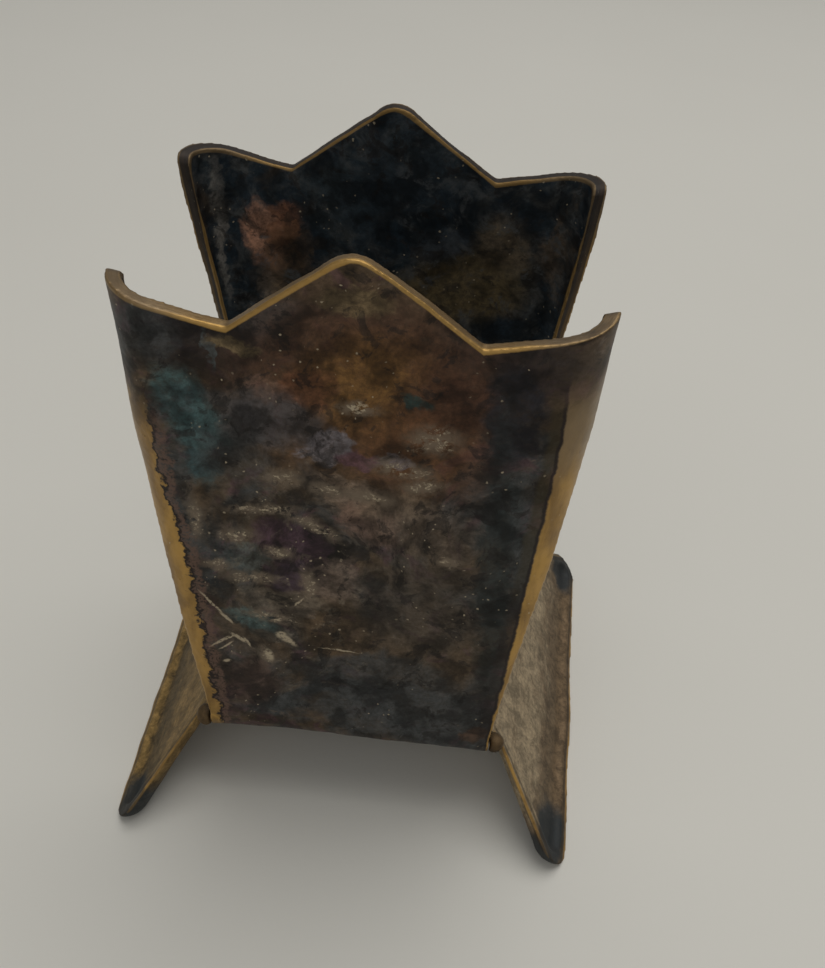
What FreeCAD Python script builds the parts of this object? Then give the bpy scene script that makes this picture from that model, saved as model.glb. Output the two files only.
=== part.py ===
"""Votive candle holder in thick sheet brass, in millimetres.

Two crown-topped walls and two splayed feet are cut from sheet, bent, and brazed by their flanges
to the underside of a floor plate. +X is to the right, +Y to the back, +Z up. The sub-parts are
made with the middle of the floor over the origin, and the finished holder is then shifted so that
the origin is on the table, under the middle of the box that it fills.
"""
import FreeCAD, Part
import math
import os

from FreeCAD import Placement, Rotation, Vector

# Driving dimensions ---------------------------------------------------------------------------
SHEET = 1.8                  # thickness of the brass
BRAZE = 0.15                 # thickness of the brazing film in a lap joint
HALF_WIDTH = 22.0            # middle of the floor to the fold of a foot, along X
HALF_DEPTH = 22.4            # middle of the floor to the inner face of a wall at its fold, along Y
BEND = 1.4                   # inner radius of every fold
FLANGE = 8.0                 # reach of a flange under the floor plate, from its own fold
MITRE_GAP = 0.5              # half of the gap between neighbouring flanges at a corner
PLATE_SETBACK = 2.0          # how far the floor plate's edge stands inside the folds
PLATE_ROUND = 1.2            # corner radius of the floor plate
FLANGE_ROUND = 0.6           # radius in the corner between a flange and its fold
FOOT_FLANGE_INSET = 0.6      # how far a foot's flange stands inside the foot's sides
SEAM = 0.8                   # leg of the braze fillet along the floor plate's edge
SEAM_LAP = 0.2               # how far inside the plate's edge a seam reaches its full length
SEAM_HOLLOW = (0.3, 0.4)     # deepest point of the fillet's hollow, as shares of its reach and rise

# Wall, measured along its slope from the underside of its flange
WALL_LEAN = 2.0              # degrees that the walls lean towards each other
PEAK = 80.3                  # height of the middle point, before rounding
PEAK_ROUND = 4.0
NOTCH = 69.6                 # height of the bottom of a V notch
NOTCH_HALF = 14.3            # middle line to the bottom of a V notch
NOTCH_ROUND = 0.7
SHOULDER = 72.4              # height of a side peak, before rounding
SHOULDER_ROUND = 1.9
FLAT_HALF_LOW = 18.2         # half width of the flat middle at the fold
FLAT_HALF_HIGH = 22.6        # half width of the flat middle at the side peaks
ROLL_RADIUS = 4.6            # inner radius of a rolled side edge
ROLL_LOW = 20.0              # degrees that a side edge is rolled through at the fold
ROLL_HIGH = 95.0             # and at the side peaks
ROLL_EASE = 1.35             # above 1 the roll stays open low down and tightens toward the top

# Foot, measured along its slope from its fold
FOOT_SLOPE = 54.0            # degrees below the floor
FOOT_LENGTH = 18.9           # from the end of the fold to the outer edge
FOOT_TOP_HALF = 22.0         # half width at the fold
FOOT_TIP_HALF = 36.4         # half width at the outer edge, before rounding
FOOT_TIP_ROUND = 3.8
DISH_RADIUS = 3.4            # outer radius of the turned-up rims
RIM = 2.9                    # height of the turned-up rim at the tips, from the underside
RIM_AT_FOLD = 1.9            # and where it fades out at the fold
RIGHT_FOOT_TWIST = 2.6       # degrees that the right foot is set out of square, its back tip outward
TWIST_AT = 5.6               # distance of the twist's centre in front of the middle, along the fold
REST = 0.3                   # depth of the flat worn on a foot's rim, where it rests on the table

BEAD = 1.45                  # radius of the braze bead that closes a corner
BEAD_INSET = (0.6, 0.2)      # how far a bead's middle stands inside the folds, along X and Y
BEAD_DROP = 0.2              # and below the top of the flanges

# How far blanks and cutters run past what they shape
MARGIN = 1.0
BEYOND = 5.0
FAR = 40.0
TOUCH = 0.01                 # closer than this counts as the same place
LOFT_STEPS = 4               # stretches of a wall between its sections

# Levels, worked out from the feet: their rims' lowest point is worn down by REST -----------------
SLOPE = math.radians(FOOT_SLOPE)
FOLD_OUTER = BEND + SHEET
FLANGE_LEVEL = (
    BEND + (FOOT_LENGTH - DISH_RADIUS) * math.sin(SLOPE)
    - (BEND + DISH_RADIUS) * math.cos(SLOPE) + DISH_RADIUS - REST
)
LAP_LEVEL = FLANGE_LEVEL + SHEET
PLATE_LEVEL = LAP_LEVEL + BRAZE


# Helpers --------------------------------------------------------------------------------------
def rounded_outline(corners):
    """A closed wire in the XY plane through (x, y, radius) corners, each rounded by its own radius."""
    starts, ends, middles = [], [], []
    count = len(corners)
    for index, (x, y, radius) in enumerate(corners):
        here = Vector(x, y, 0)
        before = Vector(*corners[index - 1][:2], 0) - here
        after = Vector(*corners[(index + 1) % count][:2], 0) - here
        half = before.getAngle(after) / 2
        before.normalize()
        after.normalize()
        reach = radius / math.tan(half)
        starts.append(here + before * reach)
        ends.append(here + after * reach)
        inward = (before + after).normalize() * (radius / math.sin(half) - radius)
        middles.append(here + inward)
    edges = []
    for index in range(count):
        if corners[index][2] > 0:
            edges.append(Part.Arc(starts[index], middles[index], ends[index]).toShape())
        edges.append(Part.makeLine(ends[index], starts[(index + 1) % count]))
    return Part.Wire(edges)


def upright(wire, start, length):
    """Push a wire drawn in XY, with its y as height, along Y from a start."""
    wire.Placement = Placement(Vector(0, start, 0), Rotation(Vector(1, 0, 0), 90))
    return Part.Face(wire).extrude(Vector(0, length, 0))


def plan_slab(corners, low, high):
    """A slab with an outline in plan, between two levels."""
    wire = rounded_outline(corners)
    wire.Placement = Placement(Vector(0, 0, low), Rotation())
    return Part.Face(wire).extrude(Vector(0, 0, high - low))


def polar(centre, radius, degrees):
    """A point in the YZ plane round a centre, with 0 degrees along +Y and 90 along +Z."""
    angle = math.radians(degrees)
    return centre + Vector(0, math.cos(angle), math.sin(angle)) * radius


def arc_round(centre, radius, start, end):
    """An arc in the YZ plane round a centre, between two directions in degrees."""
    points = [polar(centre, radius, degrees) for degrees in (start, (start + end) / 2, end)]
    return Part.Arc(*points).toShape()


def half_turn(shape):
    """The same piece turned half round the holder's axis."""
    turned = shape.copy()
    turned.rotate(Vector(0, 0, 0), Vector(0, 0, 1), 180)
    return turned


def flange_plan(half_fold, half_edge, fold_at, reach):
    """Corners in plan of a mitred flange that runs back from a fold along X, at y = fold_at."""
    inner = fold_at - reach
    half_inner = half_fold - reach - MITRE_GAP
    beyond = fold_at + FOLD_OUTER + MARGIN
    shoulder = fold_at + half_edge - half_fold + MITRE_GAP
    return [
        (-half_inner, inner, 0), (half_inner, inner, 0), (half_edge, shoulder, FLANGE_ROUND),
        (half_edge, beyond, 0), (-half_edge, beyond, 0), (-half_edge, shoulder, FLANGE_ROUND),
    ]


# Walls: made as the back wall -------------------------------------------------------------------
def rolled_section(height):
    """A wall's cross-section at a height: a flat middle with both edges rolled inward."""
    share = height / SHOULDER
    flat = FLAT_HALF_LOW + (FLAT_HALF_HIGH - FLAT_HALF_LOW) * share
    roll = math.radians(ROLL_LOW + (ROLL_HIGH - ROLL_LOW) * share ** ROLL_EASE)

    def point(side, radius, angle):
        return Vector(side * (flat + radius * math.sin(angle)), radius * math.cos(angle) - ROLL_RADIUS, height)

    def rolled_arc(side, radius, start, end):
        return Part.Arc(*[point(side, radius, a) for a in (start, (start + end) / 2, end)]).toShape()

    inner, outer = ROLL_RADIUS, ROLL_RADIUS + SHEET
    return Part.Wire([
        Part.makeLine(point(-1, outer, 0), point(1, outer, 0)),
        rolled_arc(1, outer, 0, roll),
        Part.makeLine(point(1, outer, roll), point(1, inner, roll)),
        rolled_arc(1, inner, roll, 0),
        Part.makeLine(point(1, inner, 0), point(-1, inner, 0)),
        rolled_arc(-1, inner, 0, roll),
        Part.makeLine(point(-1, inner, roll), point(-1, outer, roll)),
        rolled_arc(-1, outer, roll, 0),
    ])


def crown_rise():
    """Slope of the top edge from a V notch out to a side peak."""
    return (SHOULDER - NOTCH) / (FLAT_HALF_HIGH + ROLL_RADIUS - NOTCH_HALF)


def crown_blank(low):
    """A thick slab with the crown's outline, from a low level upward."""
    reach = FLAT_HALF_HIGH + ROLL_RADIUS + SHEET + MARGIN
    edge = NOTCH + (reach - NOTCH_HALF) * crown_rise()
    outline = rounded_outline([
        (-reach, low, 0), (reach, low, 0), (reach, edge, 0),
        (NOTCH_HALF, NOTCH, NOTCH_ROUND), (0, PEAK, PEAK_ROUND), (-NOTCH_HALF, NOTCH, NOTCH_ROUND),
        (-reach, edge, 0),
    ])
    half_depth = ROLL_RADIUS + SHEET + BEYOND
    return upright(outline, -half_depth, 2 * half_depth)


def shoulder_cutter(side):
    """What is cut away to round the free corner of a rolled edge at a side peak."""
    start_x = FLAT_HALF_HIGH - SHEET
    top = NOTCH + (start_x - NOTCH_HALF) * crown_rise()
    turn = math.cos(math.radians(ROLL_HIGH))
    free = min(ROLL_RADIUS * turn, (ROLL_RADIUS + SHEET) * turn) - ROLL_RADIUS
    centre = Vector(side * start_x, free + SHOULDER_ROUND, top - SHOULDER_ROUND)
    outside = free - BEYOND
    points = [
        centre + Vector(0, 0, SHOULDER_ROUND), Vector(side * start_x, centre.y, top + BEYOND),
        Vector(side * start_x, outside, top + BEYOND), Vector(side * start_x, outside, centre.z),
        centre - Vector(0, SHOULDER_ROUND, 0),
    ]
    lines = [Part.makeLine(a, b) for a, b in zip(points, points[1:])]
    wire = Part.Wire(lines + [arc_round(centre, SHOULDER_ROUND, 180, 90)])
    return Part.Face(wire).extrude(Vector(side, 0, crown_rise()) * (ROLL_RADIUS + 2 * SHEET + BEYOND))


def wall_fold():
    """The fold at a wall's bottom with its flange, in place under the back wall."""
    centre = Vector(0, HALF_DEPTH - BEND, LAP_LEVEL + BEND)
    inner_end = HALF_DEPTH - FLANGE - MARGIN
    profile = Part.Wire([
        Part.makeLine(Vector(0, inner_end, FLANGE_LEVEL), Vector(0, centre.y, FLANGE_LEVEL)),
        arc_round(centre, FOLD_OUTER, -90, WALL_LEAN),
        Part.makeLine(polar(centre, FOLD_OUTER, WALL_LEAN), polar(centre, BEND, WALL_LEAN)),
        arc_round(centre, BEND, WALL_LEAN, -90),
        Part.makeLine(Vector(0, centre.y, LAP_LEVEL), Vector(0, inner_end, LAP_LEVEL)),
        Part.makeLine(Vector(0, inner_end, LAP_LEVEL), Vector(0, inner_end, FLANGE_LEVEL)),
    ])
    profile.translate(Vector(-FAR, 0, 0))
    bar = Part.Face(profile).extrude(Vector(2 * FAR, 0, 0))
    edge = max(vertex.X for vertex in rolled_section(SHEET + BEND).Vertexes)
    plan = flange_plan(HALF_WIDTH, edge, HALF_DEPTH, FLANGE)
    return bar.common(plan_slab(plan, FLANGE_LEVEL - MARGIN, LAP_LEVEL + BEND + MARGIN))


def back_wall():
    low = SHEET + BEND
    heights = [low + (PEAK + 2 * MARGIN - low) * step / LOFT_STEPS for step in range(LOFT_STEPS + 1)]
    sheet = Part.makeLoft([rolled_section(height) for height in heights], True, False)
    sheet = sheet.common(crown_blank(low))
    for side in (-1, 1):
        sheet = sheet.cut(shoulder_cutter(side))
    sheet.translate(Vector(0, HALF_DEPTH, FLANGE_LEVEL))
    fold_axis = Vector(0, HALF_DEPTH - BEND, LAP_LEVEL + BEND)
    sheet.rotate(fold_axis, Vector(1, 0, 0), WALL_LEAN)
    return sheet.fuse(wall_fold()).removeSplitter()


# Feet: made as the right foot -------------------------------------------------------------------
def foot_outline(start, inset):
    """A foot's outline, x along its slope and y across, drawn in by an inset."""
    flare = (FOOT_TIP_HALF - FOOT_TOP_HALF) / FOOT_LENGTH
    slant = inset * math.hypot(1, flare)
    end = FOOT_LENGTH - inset
    half_start = FOOT_TOP_HALF + start * flare - slant
    half_end = FOOT_TOP_HALF + end * flare - slant
    tip = FOOT_TIP_ROUND - inset
    return rounded_outline([
        (start, -half_start, 0), (end, -half_end, tip), (end, half_end, tip), (start, half_start, 0),
    ])


def dish_block(start, inset, low, radius):
    """A block with a foot's outline whose lower edge is rounded on its three free sides."""
    outline = foot_outline(start, inset)
    outline.translate(Vector(0, 0, low))
    block = Part.Face(outline).extrude(Vector(0, 0, 3 * DISH_RADIUS))
    lower = [
        edge for edge in block.Edges
        if edge.BoundBox.ZMax < low + TOUCH and edge.BoundBox.XMax > start + TOUCH
    ]
    return block.makeFillet(radius, lower)


def dished_foot():
    """The sloping part of a foot, laid flat: the fold ends at x = 0, the visible face is up."""
    outer = dish_block(-BEYOND, 0, 0, DISH_RADIUS)
    hollow = dish_block(-2 * BEYOND, SHEET, SHEET, DISH_RADIUS - SHEET)
    tray = outer.cut(hollow)
    far = FOOT_LENGTH + MARGIN
    slope = (RIM - RIM_AT_FOLD) / FOOT_LENGTH
    side = Part.makePolygon([
        Vector(0, 0, -MARGIN), Vector(far, 0, -MARGIN), Vector(far, 0, RIM + slope * MARGIN),
        Vector(0, 0, RIM_AT_FOLD), Vector(0, 0, -MARGIN),
    ])
    side.translate(Vector(0, -2 * FOOT_TIP_HALF, 0))
    return tray.common(Part.Face(side).extrude(Vector(0, 4 * FOOT_TIP_HALF, 0)))


def foot_fold():
    """The fold at a foot's top with its flange, made under the back edge and then turned."""
    centre = Vector(0, HALF_WIDTH - BEND, FLANGE_LEVEL - BEND)
    inner_end = HALF_WIDTH - FLANGE - MARGIN
    end = 90 - FOOT_SLOPE
    profile = Part.Wire([
        Part.makeLine(Vector(0, inner_end, LAP_LEVEL), Vector(0, centre.y, LAP_LEVEL)),
        arc_round(centre, FOLD_OUTER, 90, end),
        Part.makeLine(polar(centre, FOLD_OUTER, end), polar(centre, BEND, end)),
        arc_round(centre, BEND, end, 90),
        Part.makeLine(Vector(0, centre.y, FLANGE_LEVEL), Vector(0, inner_end, FLANGE_LEVEL)),
        Part.makeLine(Vector(0, inner_end, FLANGE_LEVEL), Vector(0, inner_end, LAP_LEVEL)),
    ])
    profile.translate(Vector(-FAR, 0, 0))
    bar = Part.Face(profile).extrude(Vector(2 * FAR, 0, 0))
    plan = flange_plan(HALF_DEPTH, FOOT_TOP_HALF - FOOT_FLANGE_INSET, HALF_WIDTH, FLANGE)
    fold = bar.common(plan_slab(plan, FLANGE_LEVEL - BEYOND, LAP_LEVEL + MARGIN))
    fold.rotate(Vector(0, 0, 0), Vector(0, 0, 1), -90)
    return fold


def right_foot():
    tray = dished_foot()
    tray.translate(Vector(0, 0, BEND))
    tray.rotate(Vector(0, 0, 0), Vector(0, 1, 0), FOOT_SLOPE)
    tray.translate(Vector(HALF_WIDTH - BEND, 0, FLANGE_LEVEL - BEND))
    foot = tray.fuse(foot_fold()).removeSplitter()
    above_table = Part.makeBox(2 * FAR, 2 * FAR, FAR, Vector(-FAR, -FAR, 0))
    return foot.common(above_table)


# Floor and joints -------------------------------------------------------------------------------
def floor_plate():
    half_x = HALF_WIDTH - PLATE_SETBACK
    half_y = HALF_DEPTH - PLATE_SETBACK
    corners = [(-half_x, -half_y), (half_x, -half_y), (half_x, half_y), (-half_x, half_y)]
    return plan_slab([(x, y, PLATE_ROUND) for x, y in corners], PLATE_LEVEL, PLATE_LEVEL + SHEET)


def lap_seam(half_fold, fold_at):
    """A brazed lap joint along a fold at y = fold_at: a film under the plate, a fillet at its edge."""
    plate_edge = fold_at - PLATE_SETBACK
    inner_end = fold_at - FLANGE
    crest = Vector(0, plate_edge, PLATE_LEVEL + SEAM)
    toe = Vector(0, plate_edge + min(SEAM, PLATE_SETBACK - BEND), LAP_LEVEL)
    reach, rise = SEAM_HOLLOW
    hollow = Vector(0, plate_edge + reach * (toe.y - plate_edge), LAP_LEVEL + rise * (crest.z - LAP_LEVEL))
    profile = Part.Wire([
        Part.makeLine(Vector(0, inner_end, LAP_LEVEL), toe),
        Part.Arc(toe, hollow, crest).toShape(),
        Part.makeLine(crest, Vector(0, plate_edge, PLATE_LEVEL)),
        Part.makeLine(Vector(0, plate_edge, PLATE_LEVEL), Vector(0, inner_end, PLATE_LEVEL)),
        Part.makeLine(Vector(0, inner_end, PLATE_LEVEL), Vector(0, inner_end, LAP_LEVEL)),
    ])
    profile.translate(Vector(-FAR, 0, 0))
    bar = Part.Face(profile).extrude(Vector(2 * FAR, 0, 0))
    half_plate = half_fold - PLATE_SETBACK - PLATE_ROUND
    half_inner = half_fold - FLANGE - 2 * MITRE_GAP
    plan = [
        (-half_inner, inner_end, 0), (half_inner, inner_end, 0),
        (half_plate, plate_edge - SEAM_LAP, 0), (half_plate, fold_at, 0),
        (-half_plate, fold_at, 0), (-half_plate, plate_edge - SEAM_LAP, 0),
    ]
    return bar.common(plan_slab(plan, LAP_LEVEL - MARGIN, PLATE_LEVEL + SEAM + MARGIN))


def corner_beads(neighbours):
    """Braze beads in the four corners, shaped by the sheets that they close."""
    beads = []
    out_x, out_y = HALF_WIDTH - BEAD_INSET[0], HALF_DEPTH - BEAD_INSET[1]
    for side_x in (-1, 1):
        for side_y in (-1, 1):
            bead = Part.makeSphere(BEAD, Vector(side_x * out_x, side_y * out_y, LAP_LEVEL - BEAD_DROP))
            for neighbour in neighbours:
                bead = bead.cut(neighbour)
            beads.append(max(bead.Solids, key=lambda solid: solid.Volume))
    return Part.makeCompound(beads)


# Assembly ---------------------------------------------------------------------------------------
def single(shape):
    """The one solid of a shape."""
    solids = shape.Solids
    assert len(solids) == 1, len(solids)
    return solids[0]


def holder():
    wall = single(back_wall())
    foot = single(right_foot())
    wall_seam = single(lap_seam(HALF_WIDTH, HALF_DEPTH))
    foot_seam = single(lap_seam(HALF_DEPTH, HALF_WIDTH))
    foot_seam.rotate(Vector(0, 0, 0), Vector(0, 0, 1), -90)
    twisted = foot.copy()
    twisted.rotate(Vector(HALF_WIDTH, -TWIST_AT, 0), Vector(0, 0, 1), -RIGHT_FOOT_TWIST)
    pieces = {
        "back_wall": wall,
        "front_wall": half_turn(wall),
        "right_foot": twisted,
        "left_foot": half_turn(foot),
        "floor_plate": single(floor_plate()),
        "back_wall_braze": wall_seam,
        "front_wall_braze": half_turn(wall_seam),
        "right_foot_braze": foot_seam,
        "left_foot_braze": half_turn(foot_seam),
    }
    pieces["corner_beads"] = corner_beads(list(pieces.values()))
    return pieces


def centre_in_plan(pieces):
    """Shift the pieces together, so that the origin is under the middle of their box. Gives the shift."""
    whole = Part.makeCompound(list(pieces.values())).optimalBoundingBox(False)
    shift = Vector(-whole.Center.x, -whole.Center.y, 0)
    for shape in pieces.values():
        shape.translate(shift)
    return shift


os.makedirs("parts", exist_ok=True)
finished = holder()
print("shifted by", centre_in_plan(finished))
for name, shape in finished.items():
    box = shape.optimalBoundingBox(False)
    print(f"{name:18s} valid {shape.isValid()} solids {len(shape.Solids)} volume {shape.Volume:9.2f} "
          f"x {box.XMin:.1f}..{box.XMax:.1f} y {box.YMin:.1f}..{box.YMax:.1f} z {box.ZMin:.2f}..{box.ZMax:.1f}")
    shape.exportStep(os.path.join("parts", name + ".step"))
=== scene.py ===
"""Looks of the brass votive candle holder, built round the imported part.

Every sheet-metal piece is reworked into an even mesh with softened arrises and a slightly
unsteady, hand-worked surface. Lengths are in metres, except where a name ends in _mm. Each piece
carries its own flat pattern: the place on the sheet before it was bent, in millimetres, which the
finishes use for their stains, wear and scratches.
"""

import math

import bpy
import numpy as np
from mathutils import Matrix, Vector


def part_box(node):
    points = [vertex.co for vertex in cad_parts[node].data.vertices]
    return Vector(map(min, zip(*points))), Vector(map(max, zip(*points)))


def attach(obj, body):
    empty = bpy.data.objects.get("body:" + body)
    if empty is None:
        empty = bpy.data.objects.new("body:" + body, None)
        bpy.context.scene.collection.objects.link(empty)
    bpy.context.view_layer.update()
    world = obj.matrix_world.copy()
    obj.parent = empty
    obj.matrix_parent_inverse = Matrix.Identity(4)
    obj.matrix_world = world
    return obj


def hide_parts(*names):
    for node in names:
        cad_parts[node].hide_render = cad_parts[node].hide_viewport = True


MM = 0.001

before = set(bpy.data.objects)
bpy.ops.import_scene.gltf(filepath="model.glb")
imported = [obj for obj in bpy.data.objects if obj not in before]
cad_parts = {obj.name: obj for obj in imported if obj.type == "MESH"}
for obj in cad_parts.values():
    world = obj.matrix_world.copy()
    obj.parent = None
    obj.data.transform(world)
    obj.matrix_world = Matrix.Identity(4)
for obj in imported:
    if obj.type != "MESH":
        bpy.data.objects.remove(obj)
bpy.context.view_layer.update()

# Sheet and shape, in millimetres ----------------------------------------------------------------
SHEET_MM = 1.8
BEND_MM = 1.4                # inner radius of every fold
WALL_LEAN = math.radians(2)
WALL_DEPTH_MM = 22.4         # middle of the floor to a wall's inner face at its fold
FLAT_LOW_MM, FLAT_HIGH_MM = 18.2, 22.6      # half width of a wall's flat middle, low and high
ROLL_RADIUS_MM = 4.6         # inner radius of the rolled side edges
ROLL_LOW, ROLL_HIGH = math.radians(20), math.radians(95)
ROLL_EASE = 1.35
SHOULDER_MM = 72.4           # height of the side peaks
SHOULDER_ROUND_MM = 1.9
PEAK_MM, PEAK_EASE_MM = 80.3, 1.33
NOTCH_MM, NOTCH_HALF_MM = 69.6, 14.3
NO_EDGE_MM = 9.0             # stands for the edge distance on pieces that show no cut edge

FOOT_FOLD_MM = 22.0          # middle of the floor to a foot's fold
FOOT_SLOPE = math.radians(54)
FOOT_LENGTH_MM = 18.9
FOOT_TOP_MM, FOOT_TIP_MM = 22.0, 36.4
FOOT_TIP_ROUND_MM = 3.8
FOOT_TWIST = math.radians(2.6)
RIM_RISE = 0.053             # how much a foot's rim grows per mm down its slope
TWIST_BACK_MM = 5.6          # how far in front of the middle the right foot's twist turns

floor_low, floor_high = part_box("floor_plate")
MIDDLE = (floor_low + floor_high) / 2
FLANGE_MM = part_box("back_wall")[0].z / MM


# Shapes -----------------------------------------------------------------------------------------
def turned(points, angle, about=(0, 0)):
    """Points turned in their first two coordinates."""
    c, s = math.cos(angle), math.sin(angle)
    a, b = points[:, 0] - about[0], points[:, 1] - about[1]
    return np.stack([a * c - b * s + about[0], a * s + b * c + about[1], points[:, 2]], 1)


def corner_distance(first, second, radius):
    """Distance to two edges that meet in a rounded corner."""
    nearest = np.minimum(first, second)
    inside = radius - np.hypot(np.maximum(radius - first, 0), np.maximum(radius - second, 0))
    return np.where((first < radius) & (second < radius), inside, nearest)


def wall_pattern(points, half_turn):
    """Flat pattern of a wall: across, up and through the sheet, with the distance to its edge."""
    if half_turn:
        points = turned(points, math.pi)
    pivot_y, pivot_z = WALL_DEPTH_MM - BEND_MM, FLANGE_MM + SHEET_MM + BEND_MM
    y, z = points[:, 1] - pivot_y, points[:, 2] - pivot_z
    c, s = math.cos(WALL_LEAN), math.sin(WALL_LEAN)
    rise, out = z * c - y * s, y * c + z * s
    middle_bend = BEND_MM + SHEET_MM / 2
    bent = -np.arctan2(-rise, np.maximum(out, 0.01)) * middle_bend + np.minimum(out, 0)
    up = np.where(rise < 0, bent, rise) + SHEET_MM + BEND_MM
    below = np.where(out > 0, np.hypot(out, rise), -rise)
    out = np.where(rise < 0, below, out) - BEND_MM
    share = np.clip(up / SHOULDER_MM, 0, 1.2)
    flat = FLAT_LOW_MM + (FLAT_HIGH_MM - FLAT_LOW_MM) * share
    roll = ROLL_LOW + (ROLL_HIGH - ROLL_LOW) * share ** ROLL_EASE
    x = points[:, 0]
    beyond = np.abs(x) - flat
    angle = np.where(beyond > 0, np.arctan2(beyond, out + ROLL_RADIUS_MM), 0)
    middle_radius = ROLL_RADIUS_MM + SHEET_MM / 2
    across = np.where(beyond > 0, flat + middle_radius * angle, np.abs(x))
    through = np.where(beyond > 0, np.hypot(beyond, out + ROLL_RADIUS_MM) - ROLL_RADIUS_MM, out)
    side = flat + middle_radius * roll - across
    slope = (PEAK_MM - NOTCH_MM) / NOTCH_HALF_MM
    outward = (SHOULDER_MM - NOTCH_MM) / (FLAT_HIGH_MM + ROLL_RADIUS_MM - NOTCH_HALF_MM)
    crown = np.maximum(
        PEAK_MM - slope * np.hypot(x, PEAK_EASE_MM), NOTCH_MM + outward * (np.abs(x) - NOTCH_HALF_MM),
    )
    top = (crown - up) * math.cos(math.atan(slope))
    edge = corner_distance(side, top, SHOULDER_ROUND_MM)
    return np.stack([across * np.sign(x) * (-1 if half_turn else 1), up, through], 1), edge


def foot_pattern(points, half_turn):
    """Flat pattern of a foot: across, down its slope and through the sheet, with its edge distance."""
    if half_turn:
        points = turned(points, math.pi)
    else:
        points = turned(points, FOOT_TWIST, (FOOT_FOLD_MM, -TWIST_BACK_MM))
    x, z = points[:, 0] - (FOOT_FOLD_MM - BEND_MM), points[:, 2] - (FLANGE_MM - BEND_MM)
    c, s = math.cos(FOOT_SLOPE), math.sin(FOOT_SLOPE)
    down = x * c - z * s
    through = x * s + z * c - BEND_MM
    flare = (FOOT_TIP_MM - FOOT_TOP_MM) / FOOT_LENGTH_MM
    side = (FOOT_TOP_MM + flare * down - np.abs(points[:, 1])) / math.hypot(1, flare)
    end = FOOT_LENGTH_MM - down
    edge = corner_distance(side, end, FOOT_TIP_ROUND_MM)
    return np.stack([points[:, 1], down, through], 1), edge


def plain_pattern(points, half_turn):
    """The piece's own place stands for its flat pattern, and it has no cut edges."""
    return points.copy(), np.full(len(points), NO_EDGE_MM)


def add_attribute(mesh, name, kind, values):
    made = mesh.attributes.new(name, kind, "POINT")
    field = "vector" if kind == "FLOAT_VECTOR" else "value"
    made.data.foreach_set(field, values.astype(np.float32).ravel())


DENTS = ((26.0, 1.0), (11.0, 0.5), (4.0, 0.16), (1.6, 0.05))    # wave lengths in mm, and shares
WAVES_EACH = 10              # waves that are added up at each length
LENGTH_SPREAD = (0.7, 1.4)
SEEDS = 97
SMOOTHING = 0.5              # how far each round of smoothing moves a point toward its neighbours


def waves(places, chance, length):
    """A smooth random push at each place, in three directions, with waves of about a length."""
    total = np.zeros_like(places)
    for _ in range(WAVES_EACH):
        direction = chance.normal(size=3)
        direction *= 2 * math.pi / length * chance.uniform(*LENGTH_SPREAD) / np.linalg.norm(direction)
        push = chance.normal(size=3) / 3
        total += np.sin(places @ direction + chance.uniform(0, 2 * math.pi))[:, None] * push
    return total


def worked(node, name, pattern, half_turn, voxel_mm, rounds, dent_mm):
    """A node's shape as an even mesh with softened arrises and slight dents, standing for the node."""
    rough = bpy.data.objects.new(name + "_rough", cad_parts[node].data.copy())
    bpy.context.scene.collection.objects.link(rough)
    even = rough.modifiers.new("even", "REMESH")
    even.mode = "VOXEL"
    even.voxel_size = voxel_mm * MM
    soften = rough.modifiers.new("soften", "SMOOTH")
    soften.factor = SMOOTHING
    soften.iterations = rounds
    graph = bpy.context.evaluated_depsgraph_get()
    mesh = bpy.data.meshes.new_from_object(rough.evaluated_get(graph))
    mesh.name = name
    bpy.data.objects.remove(rough)
    mesh.materials.clear()

    count = len(mesh.vertices)
    places = np.zeros(count * 3, np.float32)
    mesh.vertices.foreach_get("co", places)
    places = places.reshape(-1, 3).astype(float)
    # both faces of the sheet move together, so dents don't change its thickness
    chance = np.random.default_rng(seed_of(name))
    for length_mm, share in DENTS:
        places += waves(places, chance, length_mm * MM) * (share * dent_mm * MM)
    places[:, 2] = np.maximum(places[:, 2], 0)      # the table stops them
    mesh.vertices.foreach_set("co", places.astype(np.float32).ravel())
    origin = np.array([MIDDLE.x, MIDDLE.y, 0])
    flat, edge = pattern((places - origin) / MM, half_turn)
    add_attribute(mesh, "flat", "FLOAT_VECTOR", flat)
    add_attribute(mesh, "edge", "FLOAT", edge)
    mesh.polygons.foreach_set("use_smooth", [True] * len(mesh.polygons))
    mesh.update()

    piece = bpy.data.objects.new(name, mesh)
    bpy.context.scene.collection.objects.link(piece)
    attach(piece, "root")
    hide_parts(node)
    return piece


def seed_of(name):
    """A steady number for a name."""
    return sum(ord(letter) * (place + 1) for place, letter in enumerate(name)) % SEEDS


# Finishes ---------------------------------------------------------------------------------------
PATINA_SHEEN = 0.22          # specular level of every finish
RIGHT_THROUGH = 1e6          # a stain's reach through the sheet
FACES_APART = 14.0           # stretches the noise through the sheet, so that its two faces differ


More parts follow.
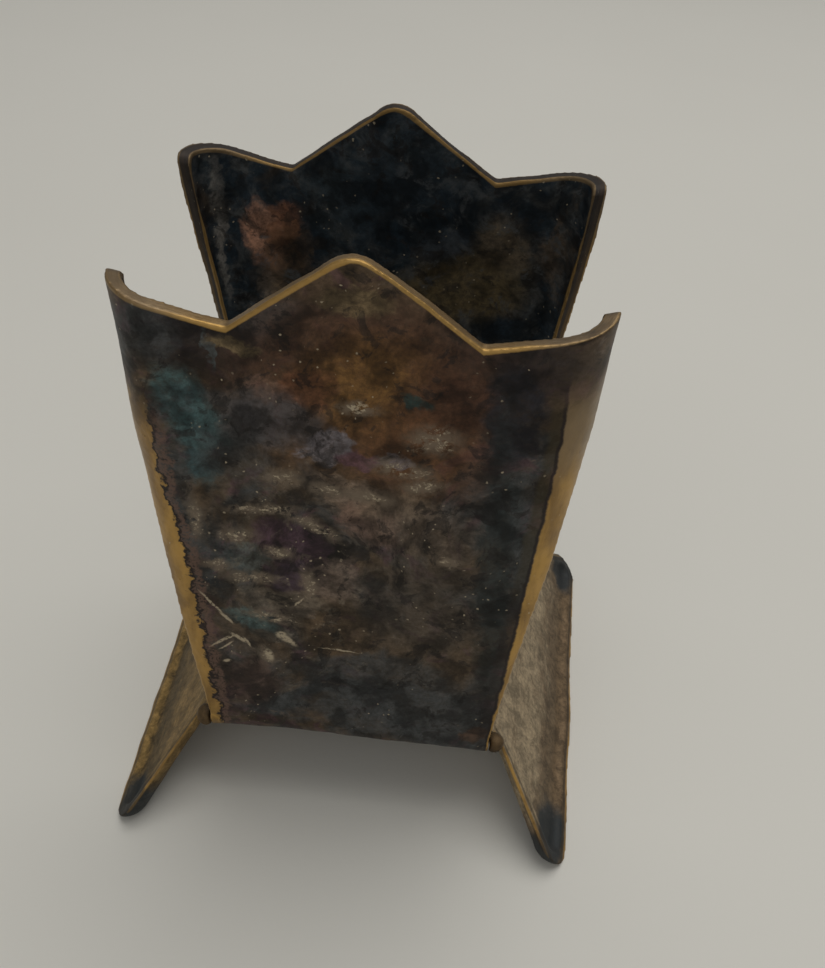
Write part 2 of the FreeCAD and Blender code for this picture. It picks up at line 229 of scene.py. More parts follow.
class Value:
    """A value in a finish. Arithmetic on it adds Math nodes."""

    def __init__(self, finish, socket):
        self.finish = finish
        self.socket = socket

    def math(self, operation, *inputs):
        return self.finish.node("ShaderNodeMath", {"operation": operation}, inputs)

    def __add__(self, other):
        return self.math("ADD", self, other)

    def __radd__(self, other):
        return self.math("ADD", other, self)

    def __sub__(self, other):
        return self.math("SUBTRACT", self, other)

    def __rsub__(self, other):
        return self.math("SUBTRACT", other, self)

    def __mul__(self, other):
        return self.math("MULTIPLY", self, other)

    def __rmul__(self, other):
        return self.math("MULTIPLY", other, self)

    def size(self):
        return self.math("ABSOLUTE", self)

    def most(self, other):
        return self.math("MAXIMUM", self, other)

    def twin(self, output):
        """Another output of the same node."""
        return Value(self.finish, self.socket.node.outputs[output])

    def step(self, start, end):
        """0 at start and 1 at end, eased; start may be the larger."""
        return self.finish.node(
            "ShaderNodeMapRange", {"interpolation_type": "SMOOTHSTEP"},
            {"Value": self, "From Min": start, "From Max": end, "To Min": 0.0, "To Max": 1.0},
        )


class Finish:
    """One material and its nodes."""

    def __init__(self, name):
        self.material = bpy.data.materials.new(name)
        self.material.use_nodes = True
        self.tree = self.material.node_tree
        self.tree.nodes.clear()

    def node(self, kind, settings, inputs, output=0):
        """A node with its settings, then its sockets' values or links. Gives one of its outputs."""
        made = self.tree.nodes.new(kind)
        for name, value in settings.items():
            setattr(made, name, value)
        for key, value in inputs.items() if isinstance(inputs, dict) else enumerate(inputs):
            socket = made.inputs[key]
            if isinstance(value, Value):
                self.tree.links.new(value.socket, socket)
            elif socket.type == "RGBA":
                socket.default_value = (*value, 1)
            else:
                socket.default_value = value
        return Value(self, made.outputs[output]) if len(made.outputs) else None

    def attribute(self, name, output):
        return self.node("ShaderNodeAttribute", {"attribute_name": name}, {}, output)

    def vector(self, operation, *inputs):
        return self.node("ShaderNodeVectorMath", {"operation": operation}, inputs)

    def cloud(self, place, scale, detail=4.0, rough=0.55, twist=0.0, output="Fac"):
        """Noise with features of about 1 / scale millimetres."""
        return self.node("ShaderNodeTexNoise", {}, {
            "Vector": place, "Scale": scale, "Detail": detail, "Roughness": rough, "Distortion": twist,
        }, output)

    def cells(self, place, scale):
        """Distance from the middle of the nearest random cell, in cells."""
        return self.node("ShaderNodeTexVoronoi", {}, {"Vector": place, "Scale": scale}, "Distance")

    def mix(self, factor, first, second, blend="MIX"):
        """A colour between two, which may be colours or links."""
        settings = {"data_type": "RGBA", "blend_type": blend}
        return self.node("ShaderNodeMix", settings, {0: factor, 6: first, 7: second}, 2)

    def moved(self, place, x, y=0.0, z=0.0):
        return self.vector("ADD", place, (x, y, z))

    def scaled(self, place, x, y, z=1.0):
        return self.vector("MULTIPLY", place, (x, y, z))

    def shaken(self, place, scale, amount, detail=3.0):
        """A place pushed about over the sheet by noise, for ragged borders."""
        shift = self.cloud(place, scale, detail, 0.6, 0.0, "Color")
        centred = self.vector("SUBTRACT", shift, (0.5, 0.5, 0.5))
        return self.vector("ADD", place, self.scaled(centred, amount, amount, 0.0))

    def blot(self, place, centre, size, turn, soft):
        """1 inside an oval at a centre on the sheet, falling to 0 at its border."""
        local = self.node("ShaderNodeMapping", {"vector_type": "TEXTURE"}, {
            "Vector": place, "Location": (*centre, 0.0),
            "Rotation": (0.0, 0.0, math.radians(turn)), "Scale": (*size, RIGHT_THROUGH),
        })
        far = self.node("ShaderNodeVectorMath", {"operation": "LENGTH"}, [local], "Value")
        return far.step(1 + soft, 1 - soft)

    def surface(self, colour, metallic, roughness, height, depth_mm):
        """The surface itself, with its relief in millimetres."""
        relief = {"Strength": 1.0, "Distance": depth_mm * MM, "Height": height}
        bump = self.node("ShaderNodeBump", {}, relief, "Normal")
        shader = self.node("ShaderNodeBsdfPrincipled", {}, {
            "Base Color": colour, "Metallic": metallic, "Roughness": roughness, "Normal": bump,
            "Specular IOR Level": PATINA_SHEEN,
        })
        self.node("ShaderNodeOutputMaterial", {}, {"Surface": shader})
        return self.material


# Colours as they lie on the metal
BRASS = (0.46, 0.28, 0.085)
BRASS_DULL = (0.24, 0.145, 0.052)
SLATE = (0.042, 0.044, 0.044)
INK = (0.009, 0.015, 0.021)
UMBER = (0.070, 0.048, 0.029)
SOOT = (0.014, 0.012, 0.011)
PLUM = (0.080, 0.042, 0.050)
RUST = (0.085, 0.037, 0.015)
OCHRE = (0.130, 0.068, 0.020)
COPPER = (0.19, 0.080, 0.042)
TAN = (0.13, 0.095, 0.050)
OLIVE = (0.050, 0.037, 0.016)
TARNISH = (0.10, 0.055, 0.020)
# brown for the grooves inside the foot rims, and painted shade on the rims' outer flanks
GROOVE_AND_SHADE_BROWN = (0.040, 0.027, 0.015)
PIT = (0.02, 0.014, 0.009)
TEAL = (0.042, 0.080, 0.082)
FLAKE = (0.120, 0.108, 0.115)
GREYBROWN = (0.115, 0.090, 0.070)
PINK = (0.150, 0.092, 0.068)
COPPER_PALE = (0.32, 0.165, 0.105)
CRUST = (0.185, 0.145, 0.105)
CREAM = (0.46, 0.385, 0.27)
NIGHT = (0.015, 0.013, 0.014)
RIM_TAN = (0.34, 0.235, 0.115)
TAN_GREY = (0.20, 0.155, 0.105)
DARK_LINE = (0.020, 0.014, 0.012)
TIP_SLATE = (0.026, 0.033, 0.037)
DUST = (0.130, 0.108, 0.080)
SMOKE = (0.066, 0.072, 0.076)


def brass_colour(f, place):
    """Bare brass with tarnish clouds and a few brown spots."""
    cloud = f.cloud(f.scaled(place, 1.0, 0.3), 0.30, 5.0, 0.6)
    colour = f.mix(cloud.step(0.32, 0.68), BRASS_DULL, BRASS)
    spots = f.cloud(f.moved(place, 31.0, 7.0), 0.9, 6.0, 0.7)
    return f.mix(spots.step(0.62, 0.72) * 0.7, colour, TARNISH)


def with_blots(f, ground, jagged, grain, blots):
    """Stains, and any painted reflection among them, laid over a ground, one by one."""
    for centre, size, turn, soft, colour, strength in blots:
        where = f.blot(jagged, centre, size, turn, soft)
        ground = f.mix(where * (grain.step(0.25, 0.6) * 0.4 + 0.6) * strength, ground, colour)
    return ground


# Where the bare brass of a wall's rolled edges starts: up and across the flat pattern, in mm
WORN_LOW, WORN_HIGH = (4.0, 20.2), (58.0, 24.0)


def wall_finish(name, outer_blots, inner_blots, clusters, strokes, outer_dust, rim_metal, arris_brass_and_highlight_share):
    """Patina with its stains, and any painted reflection among them, on both faces of a wall, worn to
    bare brass along the rolled edges.

    The last three are shares: dust on the outer face, brass on the cut edges' faces, and brass on
    their arrises, partly rubbed metal and partly a painted highlight.
    """
    f = Finish(name)
    flat = f.attribute("flat", "Vector")
    edge = f.attribute("edge", "Fac")
    across = f.node("ShaderNodeSeparateXYZ", {}, [flat], "X")
    up = across.twin("Y")
    outer = across.twin("Z").step(0.7, 1.1)
    place = f.scaled(flat, 1.0, 1.0, FACES_APART)

    broad = f.cloud(place, 0.055, 6.0, 0.62, 0.6)
    smoke = f.cloud(f.moved(place, 40.0), 0.14, 8.0, 0.66, 1.4)
    island = f.cloud(f.moved(place, 0.0, 120.0), 0.26, 8.0, 0.62, 0.5)
    grain = f.cloud(f.moved(place, 0.0, 90.0), 1.3, 6.0, 0.72)
    mottle = f.cloud(f.moved(place, 0.0, 0.0, 50.0), 0.50, 8.0, 0.74, 0.7)

    # grounds: slate, umber and plum outside, ink and slate inside
    outside = f.mix(broad.step(0.40, 0.58), SLATE, UMBER)
    outside = f.mix(smoke.step(0.52, 0.66) * 0.6, outside, PLUM)
    outside = f.mix(island.step(0.60, 0.66) * 0.55, outside, GREYBROWN)
    inside = f.mix(smoke.step(0.42, 0.66), INK, SLATE)
    inside = f.mix(broad.step(0.56, 0.66) * 0.6, inside, UMBER)
    jagged = f.shaken(f.shaken(place, 0.20, 5.0, 3.0), 0.8, 2.0, 6.0)
    outside = with_blots(f, outside, jagged, grain, outer_blots)
    inside = with_blots(f, inside, jagged, grain, inner_blots)
    colour = f.mix(outer, inside, outside)
    colour = f.mix(island.step(0.44, 0.40) * 0.6, colour, SOOT)

    # a dusty veil with a fine change of tone, and smoky bubbles on the inner face
    dusty = f.blot(jagged, (-9.0, 31.0), (12.0, 19.0), 12.0, 0.5) * outer * outer_dust
    veil = f.cloud(f.moved(place, 0.0, 33.0, 20.0), 0.42, 9.0, 0.74, 0.4)
    colour = f.mix(veil.step(0.54, 0.68) * (0.10 + dusty * 0.60), colour, DUST)
    patch = f.cloud(f.moved(place, 3.0, 71.0), 0.22, 4.0, 0.50, 0.3)
    tone = (patch.step(0.40, 0.60) * 0.85 + 0.62) * (mottle.step(0.34, 0.66) * 0.45 + 0.78)
    tone = tone * (grain.step(0.34, 0.66) * 0.40 + 0.80)
    colour = f.mix(1.0, colour, tone, "MULTIPLY")
    bubble = f.cells(f.shaken(place, 0.5, 1.2, 4.0), 0.24).step(0.50, 0.34)
    broken = f.cloud(f.moved(place, 5.0, 5.0), 0.9, 5.0, 0.7).step(0.35, 0.60)
    shown = smoke.step(0.50, 0.60) * broken
    colour = f.mix(bubble * shown * (1 - outer) * 0.75, colour, SMOKE)

    # specks, clusters of flaked metal and short strokes of a scraper
    specks = f.cells(f.shaken(place, 1.5, 0.6), 0.75).step(0.15, 0.07)
    speck = specks * f.cloud(f.moved(place, 11.0, 60.0), 0.10, 3.0).step(0.50, 0.60)
    chips = f.cloud(f.scaled(place, 0.75, 1.25), 0.95, 7.0, 0.72, 0.6)
    crumbs = f.cloud(f.moved(place, 17.0), 2.2, 4.0, 0.65)
    bright = chips.step(0.70, 0.74) * dusty * 0.7
    for centre, size, turn in clusters:
        where = f.blot(f.shaken(place, 0.5, 2.2, 5.0), centre, size, turn, 0.7) * outer
        colour = f.mix(where * veil.step(0.38, 0.50) * 0.85, colour, CRUST)
        flaked = (chips + where * 0.14).step(0.625, 0.72) * crumbs.step(0.44, 0.58)
        bright = bright.most(flaked * where * 0.85)
    for centre, size, turn in strokes:
        stroke = f.blot(f.shaken(place, 0.9, 0.55, 5.0), centre, size, turn, 0.45)
        bright = bright.most(stroke * crumbs.step(0.36, 0.48) * outer * 0.85)
    bright = bright.most(speck * 0.7)

    # bare brass where hands and cloths have worn the rolled edges
    limit = f.node("ShaderNodeMapRange", {}, {
        "Value": up, "From Min": WORN_LOW[0], "From Max": WORN_HIGH[0],
        "To Min": WORN_LOW[1], "To Max": WORN_HIGH[1],
    })
    left = across.step(1.0, -1.0)
    limit = limit - left * up.step(45.0, 39.0) * 1.1
    ragged = f.cloud(f.moved(place, 7.0), 0.40, 8.0, 0.62) - 0.5
    past = across.size() - limit + ragged * (left * 3.0 + 1.0)
    below = (up + broad * 16.0 - (1 - left) * 8.0).step(70.0, 60.0)
    rolled = past.step(-0.10, 0.20) * below * outer
    band = past.step(-1.9, -1.2) * past.step(-0.1, -0.35) * below * outer
    line = past.step(-0.5, -0.25) * past.step(0.2, -0.1) * below * outer
    colour = f.mix(band * left * crumbs.step(0.35, 0.55) * 0.8, colour, PINK)
    colour = f.mix(band * (1 - left) * 0.5, colour, f.mix(up.step(30.0, 40.0), DARK_LINE, OLIVE))
    colour = f.mix(line * 0.85, colour, DARK_LINE)

    # the cut edges: their faces, and the arrises made brighter, partly as rubbed brass and partly as a
    # painted highlight
    from_middle = (across.twin("Z") - SHEET_MM / 2).size()
    cut = (edge + grain * 0.20).step(0.46, 0.30)
    # painted highlight: brighter brass along both arrises of the cut face, partly rubbed metal and
    # partly a highlight line
    rubbed_arris_and_highlight = (edge + grain * 0.20).step(0.56, 0.40) * from_middle.step(0.52, 0.66)
    worn_brass = f.mix(up.step(48.0, 58.0) * (1 - left) * 0.75, brass_colour(f, place), TAN_GREY)
    colour = f.mix(rolled, colour, worn_brass)
    tab = across.size().step(17.0, 23.0) * up.step(60.0, 68.0)
    rim_colour = f.mix(mottle.step(0.40, 0.62), BRASS_DULL, RIM_TAN)
    rim_colour = f.mix(tab * 0.6, rim_colour, TAN_GREY)
    colour = f.mix(cut * 0.85, colour, NIGHT)
    colour = f.mix(cut * rim_metal, colour, rim_colour)
    colour = f.mix(rubbed_arris_and_highlight * arris_brass_and_highlight_share, colour, f.mix(tab * 0.6, BRASS, TAN_GREY))
    colour = f.mix(bright, colour, CREAM)
    shine = rolled.most(cut * rim_metal).most(rubbed_arris_and_highlight * arris_brass_and_highlight_share)

    metallic = shine * 0.50 + 0.45
    roughness = 0.42 + mottle * 0.16 - shine * 0.12
    relief = mottle * 0.5 + grain * 0.3 + smoke * 0.4
    return f.surface(colour, metallic, roughness, relief, 0.05)


# Slate at a foot's tips: centre and half size on the flat pattern in mm, turn and softness
FOOT_TIPS = [
    ((-28.5, 14.8), (6.5, 3.4), 8.0, 0.25), ((31.0, 14.8), (4.6, 4.2), 0.0, 0.25),
    ((29.5, 15.5), (5.0, 2.4), 0.0, 0.3),
]


def foot_finish(name, pale, brown, border):
    """Streaky patina, pale near the fold and brown outward, slate at the tips, with thin brass rims and
    painted shade on their outer flanks.
    """
    f = Finish(name)
    flat = f.attribute("flat", "Vector")
    edge = f.attribute("edge", "Fac")
    across = f.node("ShaderNodeSeparateXYZ", {}, [flat], "X")
    down = across.twin("Y")
    through = across.twin("Z")
    streak = f.cloud(f.scaled(flat, 0.30, 1.0, 4.0), 0.40, 8.0, 0.68, 0.5)
    broad = f.cloud(f.scaled(flat, 0.5, 1.0), 0.16, 4.0, 0.6)
    grain = f.cloud(flat, 1.6, 5.0, 0.7)
    mottle = f.cloud(f.moved(flat, 20.0), 0.42, 8.0, 0.74, 0.5)
    outward = (down + (broad - 0.5) * 14.0 + (streak - 0.5) * 6.0).step(8.5, 13.0)
    colour = f.mix(outward * 0.85, pale, brown)
    colour = f.mix(streak.step(0.52, 0.70) * 0.55, colour, brown)
    colour = f.mix((down + (mottle - 0.5) * 5.0).step(15.2, 16.8) * 0.8, colour, border)
    colour = f.mix(1.0, colour, mottle.step(0.34, 0.66) * 0.75 + 0.62, "MULTIPLY")
    colour = f.mix(1.0, colour, grain.step(0.34, 0.66) * 0.40 + 0.80, "MULTIPLY")
    tip_place = f.shaken(flat, 0.45, 2.6, 4.0)
    first, second, third = [f.blot(tip_place, *tip) for tip in FOOT_TIPS]
    tips = first.most(second).most(third)
    colour = f.mix(tips * 0.92, colour, f.mix(mottle.step(0.52, 0.66) * 0.5, TIP_SLATE, SMOKE))
    high = (through - down * RIM_RISE).step(1.45, 1.80)
    rim = (edge + grain * 0.2 - 0.48).size().step(0.40, 0.20) * high
    colour = f.mix(rim * (1 - tips * 0.7), colour, brass_colour(f, flat))
    groove = (edge - 1.15).size().step(0.40, 0.10) * high * 0.6
    # painted shade: the rims' outer flanks, at the cut edge on the low face, are darkened brown where
    # shade falls
    shaded_flank = (edge + grain * 0.2).step(0.40, 0.25) * (1 - high)
    colour = f.mix(groove.most(shaded_flank * 0.75), colour, GROOVE_AND_SHADE_BROWN)
    metallic = rim * 0.3 + 0.45
    roughness = 0.48 + streak * 0.2 - rim * 0.14
    relief = streak * 0.5 + grain * 0.3 + mottle * 0.4
    return f.surface(colour, metallic, roughness, relief, 0.06)


def plain_finish(name, light, dark, roughness):
    """One metal, clouded and pitted."""
    f = Finish(name)
    flat = f.attribute("flat", "Vector")
    broad = f.cloud(flat, 0.18, 5.0, 0.65, 0.5)
    grain = f.cloud(flat, 1.4, 5.0, 0.7)
    colour = f.mix(broad.step(0.35, 0.65), dark, light)
    colour = f.mix(grain.step(0.5, 0.75) * 0.5, colour, PIT)
    return f.surface(colour, broad * 0.3 + 0.5, roughness + grain * 0.2, grain + broad, 0.05)


# Stains: centre and half size on the flat pattern in mm, turn, softness, colour, strength. One entry of
# BACK_INNER is a painted reflection, not a stain
FRONT_OUTER = [
    ((-16.0, 67.5), (10.0, 4.5), -8, 0.5, NIGHT, 0.9),
    ((16.0, 67.0), (10.0, 6.0), 6, 0.5, NIGHT, 0.95),
    ((0.0, 71.5), (10.0, 4.0), 0, 0.6, (0.040, 0.026, 0.022), 0.8),
    ((2.5, 62.0), (15.0, 11.0), 0, 0.6, RUST, 0.65),
    ((0.8, 63.5), (6.5, 5.5), 20, 0.6, OCHRE, 0.7),
    ((11.0, 62.0), (5.0, 4.5), 0, 0.5, (0.055, 0.026, 0.016), 0.7),
    ((9.0, 54.5), (8.0, 6.0), -10, 0.5, RUST, 0.5),
    ((-5.5, 62.6), (3.2, 2.4), 0, 0.3, COPPER, 0.6),
    ((-9.5, 62.0), (2.2, 1.4), 0, 0.3, PINK, 0.4),
    ((0.0, 74.3), (4.4, 1.6), 0, 0.3, TAN, 0.75),
    ((-13.6, 67.9), (2.6, 1.0), -15, 0.3, TAN, 0.8),
    ((-20.4, 60.0), (3.2, 4.2), 10, 0.35, TEAL, 0.85),
    ((-18.0, 55.5), (3.4, 2.8), 30, 0.4, TEAL, 0.8),
    ((-17.8, 50.5), (2.0, 3.2), 14, 0.4, (0.028, 0.060, 0.066), 0.8),
    ((-9.5, 58.0), (5.6, 3.6), 0, 0.3, (0.050, 0.048, 0.050), 0.8),
    ((-14.0, 52.0), (4.5, 4.0), 0, 0.4, SLATE, 0.6),
    ((-3.0, 54.8), (3.0, 2.8), 0, 0.15, FLAKE, 0.95),
    ((4.5, 54.0), (2.0, 1.1), 0, 0.2, FLAKE, 0.7),
    ((1.0, 53.4), (2.4, 1.6), 0, 0.2, PLUM, 0.9),
    ((7.1, 61.7), (1.3, 1.3), 0, 0.3, (0.016, 0.036, 0.034), 0.9),
    ((0.0, 47.5), (5.0, 2.8), -20, 0.25, (0.150, 0.110, 0.080), 0.85),
    ((2.0, 43.5), (4.2, 3.2), -30, 0.25, PINK, 0.7),
    ((5.5, 46.5), (4.5, 2.2), 10, 0.3, (0.130, 0.095, 0.065), 0.7),
    ((-13.5, 36.0), (3.5, 3.0), 0, 0.3, (0.070, 0.085, 0.082), 0.7),
    ((-7.5, 38.5), (5.2, 3.6), -35, 0.2, (0.052, 0.030, 0.040), 0.95),
    ((-7.0, 33.0), (4.0, 3.0), 10, 0.2, (0.038, 0.026, 0.034), 0.95),
    ((-0.8, 37.6), (2.6, 2.0), 0, 0.15, SOOT, 0.9),
    ((-2.5, 33.0), (3.6, 4.0), 0, 0.25, (0.135, 0.100, 0.078), 0.85),
    ((-9.0, 28.5), (6.0, 1.8), -6, 0.35, (0.110, 0.090, 0.068), 0.8),
    ((-13.5, 15.0), (2.0, 3.2), 0, 0.35, (0.125, 0.085, 0.062), 0.7),
    ((-10.0, 23.0), (3.0, 1.6), 0, 0.3, (0.100, 0.088, 0.070), 0.7),
    ((9.5, 43.0), (7.0, 4.0), 0, 0.5, GREYBROWN, 0.55),
    ((-13.0, 25.0), (3.6, 2.0), -20, 0.25, TEAL, 0.7),
    ((8.0, 8.5), (13.0, 6.0), 0, 0.18, SLATE, 0.9),
    ((4.0, 15.5), (11.0, 4.5), 0, 0.2, SLATE, 0.8),
    ((-14.0, 12.0), (4.0, 5.0), 0, 0.4, (0.050, 0.032, 0.026), 0.8),
    ((18.3, 5.2), (1.6, 1.6), 0, 0.25, (0.060, 0.035, 0.022), 0.9),
    ((18.3, 61.5), (3.4, 7.0), 0, 0.25, (0.011, 0.012, 0.016), 0.85),
    ((10.0, 30.0), (9.0, 9.0), 0, 0.5, (0.052, 0.044, 0.036), 0.7),
    ((18.5, 36.0), (2.2, 24.0), 3, 0.45, (0.016, 0.021, 0.021), 0.8),
    ((-16.0, 67.0), (0.6, 3.0), 5, 0.3, (0.055, 0.065, 0.066), 0.7),
    ((-23.0, 68.0), (3.0, 3.5), 0, 0.4, SLATE, 0.7),
]
# Clusters of flaked metal, and strokes: centre and half size in mm, turn
FRONT_CLUSTERS = [
    ((-8.4, 49.3), (1.9, 1.3), 0), ((-3.1, 48.2), (1.9, 0.9), -10), ((-11.2, 44.3), (4.0, 0.7), 4),
    ((-4.9, 42.0), (3.6, 0.8), -32), ((-9.6, 37.2), (1.9, 0.9), -15), ((-13.0, 32.4), (3.0, 1.0), 0),
    ((-14.6, 39.8), (2.3, 1.0), 8), ((-17.4, 34.5), (1.8, 0.9), 0), ((-10.8, 25.5), (3.6, 0.9), -8),
    ((-19.6, 42.0), (0.9, 3.0), 4), ((-5.5, 31.5), (1.0, 2.4), 10), ((6.0, 52.3), (3.4, 1.2), -6),
    ((2.0, 47.5), (2.6, 0.9), -8), ((8.5, 50.0), (2.4, 0.9), 10), ((12.6, 38.7), (1.6, 1.0), 0),
    ((-11.6, 17.8), (0.9, 1.7), 8), ((0.5, 60.5), (2.2, 0.9), 0), ((9.5, 57.0), (2.8, 1.8), 0),
]
FRONT_STROKES = [
    ((-18.6, 27.2), (2.4, 0.16), -54), ((-16.8, 24.6), (1.3, 0.26), -50),
    ((-18.0, 19.9), (1.7, 0.17), 42), ((-17.2, 19.2), (1.3, 0.13), 42), ((-16.6, 20.8), (1.0, 0.14), 38),
    ((-15.3, 21.0), (1.3, 0.30), -34), ((-14.2, 20.4), (0.9, 0.18), -60),
    ((-8.6, 21.5), (1.5, 0.50), -42), ((-9.4, 22.3), (0.7, 0.60), 0),
    ((-11.2, 18.2), (0.5, 1.1), 10), ((-1.5, 20.2), (2.4, 0.13), -6),
    ((-17.3, 16.2), (0.55, 0.30), 20), ((-6.9, 28.6), (0.9, 0.14), 50),
]
BACK_INNER = [
    ((-18.6, 58.0), (2.8, 5.5), 8, 0.25, COPPER_PALE, 0.85),
    ((-15.8, 60.5), (2.2, 3.6), -10, 0.3, COPPER, 0.7),
    ((-18.0, 50.5), (2.4, 3.0), 0, 0.3, GREYBROWN, 0.8),
    ((-15.5, 55.0), (3.5, 7.0), 0, 0.4, (0.045, 0.026, 0.013), 0.8),
    ((-13.0, 47.0), (5.0, 5.0), 0, 0.4, TAN, 0.5),
    ((10.0, 52.0), (10.0, 5.5), 12, 0.35, (0.068, 0.050, 0.024), 0.9),
    ((16.0, 60.0), (4.0, 4.5), 30, 0.4, (0.068, 0.050, 0.030), 0.8),
    # painted reflection: this long thin grey streak down the concave left roll stands in for a highlight
    ((-25.6, 60.0), (0.9, 10.5), 0, 0.4, (0.105, 0.098, 0.088), 0.8),
    ((3.0, 71.0), (6.0, 5.0), 0, 0.7, (0.034, 0.043, 0.048), 0.7),
    ((-7.0, 66.0), (5.0, 5.0), 0, 0.7, (0.030, 0.040, 0.045), 0.7),
    ((8.0, 60.0), (3.0, 2.6), 0, 0.4, (0.036, 0.040, 0.046), 0.7),
    ((2.0, 66.0), (10.0, 8.0), 0, 0.5, INK, 0.8),
]
SPARE_OUTER = [
    ((6.0, 60.0), (12.0, 9.0), 10, 0.6, RUST, 0.5),
    ((-12.0, 52.0), (6.0, 8.0), -20, 0.4, TEAL, 0.6),
    ((2.0, 30.0), (12.0, 8.0), 15, 0.4, GREYBROWN, 0.6),
    ((-8.0, 12.0), (12.0, 6.0), 0, 0.3, SLATE, 0.9),
    ((14.0, 20.0), (4.0, 7.0), 0, 0.4, PLUM, 0.8),
]
SPARE_INNER = [
    ((5.0, 60.0), (9.0, 7.0), 0, 0.5, INK, 0.8),
    ((-10.0, 40.0), (8.0, 10.0), 20, 0.4, OLIVE, 0.7),
    ((14.0, 30.0), (5.0, 10.0), -15, 0.4, COPPER, 0.4),
]

front_finish = wall_finish(
    "front_wall_patina", FRONT_OUTER, SPARE_INNER, FRONT_CLUSTERS, FRONT_STROKES, 1.0, 0.85, 0.7,
)
back_finish = wall_finish("back_wall_patina", SPARE_OUTER, BACK_INNER, [], [], 0.4, 0.06, 0.42)
right_foot_finish = foot_finish(
    "right_foot_patina", (0.30, 0.235, 0.15), (0.130, 0.090, 0.053), (0.145, 0.098, 0.055),
)
left_foot_finish = foot_finish(
    "left_foot_patina", (0.22, 0.145, 0.058), (0.092, 0.068, 0.036), (0.25, 0.160, 0.055),
)
floor_finish = plain_finish("floor_brass", (0.11, 0.075, 0.035), (0.045, 0.032, 0.018), 0.45)
braze_finish = plain_finish("braze", (0.22, 0.14, 0.050), (0.09, 0.055, 0.022), 0.42)
bead_finish = plain_finish("bead_patina", (0.13, 0.085, 0.042), (0.035, 0.025, 0.016), 0.5)

# Pieces -----------------------------------------------------------------------------------------
# How each kind is worked: size of the mesh in mm, rounds of smoothing, depth of the dents in mm
WALL_WORK = (0.22, 6, 0.14)
FOOT_WORK = (0.22, 6, 0.12)
FLOOR_WORK = (0.4, 3, 0.12)
SEAM_WORK = (0.12, 2, 0.06)
DROP_WORK = (0.12, 4, 0.30)
SEAMED = ("front_wall", "back_wall", "left_foot", "right_foot")

# The node it stands for, its own name, flat pattern, whether turned half round, work, finish, slot
PIECES = [
    ("front_wall", "front_wall_sheet", wall_pattern, True, WALL_WORK, front_finish, "wall_patina"),
    ("back_wall", "back_wall_sheet", wall_pattern, False, WALL_WORK, back_finish, "wall_patina"),
    ("left_foot", "left_foot_sheet", foot_pattern, True, FOOT_WORK, left_foot_finish, "foot_patina"),
    ("right_foot", "right_foot_sheet", foot_pattern, False, FOOT_WORK, right_foot_finish, "foot_patina"),
    ("floor_plate", "floor_sheet", plain_pattern, False, FLOOR_WORK, floor_finish, "floor_brass"),
    *[(sheet + "_braze", sheet + "_seam", plain_pattern, False, SEAM_WORK, braze_finish, "braze")
      for sheet in SEAMED],
    ("corner_beads", "corner_drops", plain_pattern, False, DROP_WORK, bead_finish, "braze"),
]
for node, name, pattern, half_turn, work, finish, slot in PIECES:
    piece = worked(node, name, pattern, half_turn, *work)
    piece.data.materials.append(finish)


# Stage ------------------------------------------------------------------------------------------
TABLE_HALF = 1.6
TABLE_LOW, TABLE_HIGH = (0.66, 0.65, 0.60), (0.70, 0.69, 0.64)      # its two close tones
LIGHT = (1.0, 0.98, 0.95)
FILL_LIGHT = (1.0, 0.98, 0.96)
SKY_LIGHT, SKY_STRENGTH = (1.0, 0.99, 0.97), 0.28

AIM_RIGHT_MM, AIM_UP_MM = 6.08, 45.54       # what the camera looks at, from under the floor's middle
CAMERA_DISTANCE = 0.15994
LENS_MM, SENSOR_MM = 40.44, 36.0


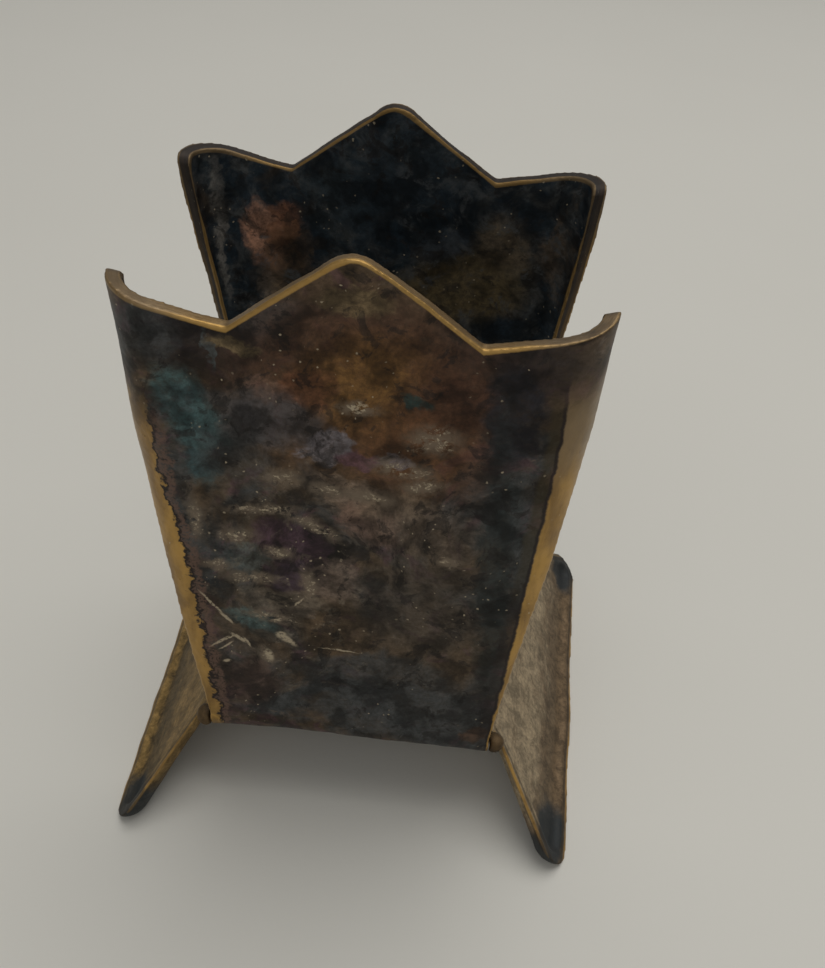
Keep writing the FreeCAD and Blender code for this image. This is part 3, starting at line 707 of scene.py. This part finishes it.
def stage_floor():
    """A wide pale table, faintly clouded."""
    f = Finish("table")
    place = f.node("ShaderNodeTexCoord", {}, {}, "Object")
    grain = f.cloud(place, 900.0, 3.0, 0.6)
    patch = f.cloud(place, 9.0, 3.0, 0.5)
    colour = f.mix(patch, TABLE_LOW, TABLE_HIGH)
    material = f.surface(colour, 0.0, grain * 0.1 + 0.5, grain, 0.02)
    half = TABLE_HALF
    corners = [(-half, -half, 0), (half, -half, 0), (half, half, 0), (-half, half, 0)]
    mesh = bpy.data.meshes.new("table")
    mesh.from_pydata(corners, [], [(0, 1, 2, 3)])
    table = bpy.data.objects.new("table", mesh)
    bpy.context.scene.collection.objects.link(table)
    table.data.materials.append(material)


def lamp(name, place, target, size, power, colour):
    """A square soft light at a place, turned to a target."""
    data = bpy.data.lights.new(name, "AREA")
    data.shape = "SQUARE"
    data.size = size
    data.energy = power
    data.color = colour
    made = bpy.data.objects.new(name, data)
    bpy.context.scene.collection.objects.link(made)
    made.location = place
    made.rotation_euler = (Vector(place) - Vector(target)).to_track_quat("Z", "Y").to_euler()


def sky(colour, strength):
    """Even light from all round."""
    world = bpy.data.worlds.new("room")
    world.use_nodes = True
    background = world.node_tree.nodes["Background"]
    background.inputs["Color"].default_value = (*colour, 1)
    background.inputs["Strength"].default_value = strength
    bpy.context.scene.world = world


def camera():
    """Camera at the front, looking down, with the holder a little left of the middle."""
    elevation, azimuth, tilt = math.radians(40.23), math.radians(3.07), math.radians(3.15)
    target = Vector((MIDDLE.x + AIM_RIGHT_MM * MM, MIDDLE.y, AIM_UP_MM * MM))
    level = math.cos(elevation)
    back = Vector((math.sin(azimuth) * level, -math.cos(azimuth) * level, math.sin(elevation)))
    data = bpy.data.cameras.new("camera")
    data.lens = LENS_MM
    data.sensor_width = SENSOR_MM
    data.clip_start = 0.01
    data.clip_end = 20.0
    made = bpy.data.objects.new("camera", data)
    bpy.context.scene.collection.objects.link(made)
    made.rotation_mode = "QUATERNION"
    roll = Matrix.Rotation(tilt, 3, "Z").to_quaternion()
    made.rotation_quaternion = back.to_track_quat("Z", "Y") @ roll
    made.location = target + back * CAMERA_DISTANCE
    bpy.context.scene.camera = made


bpy.context.scene.view_settings.view_transform = "Standard"
stage_floor()
lamp("overhead", (0.14, 0.16, 0.75), (0, 0, 0.03), 0.7, 3.2, LIGHT)
lamp("front_fill", (-0.1, -0.7, 0.45), (0, 0, 0.04), 0.8, 0.8, FILL_LIGHT)
sky(SKY_LIGHT, SKY_STRENGTH)
camera()
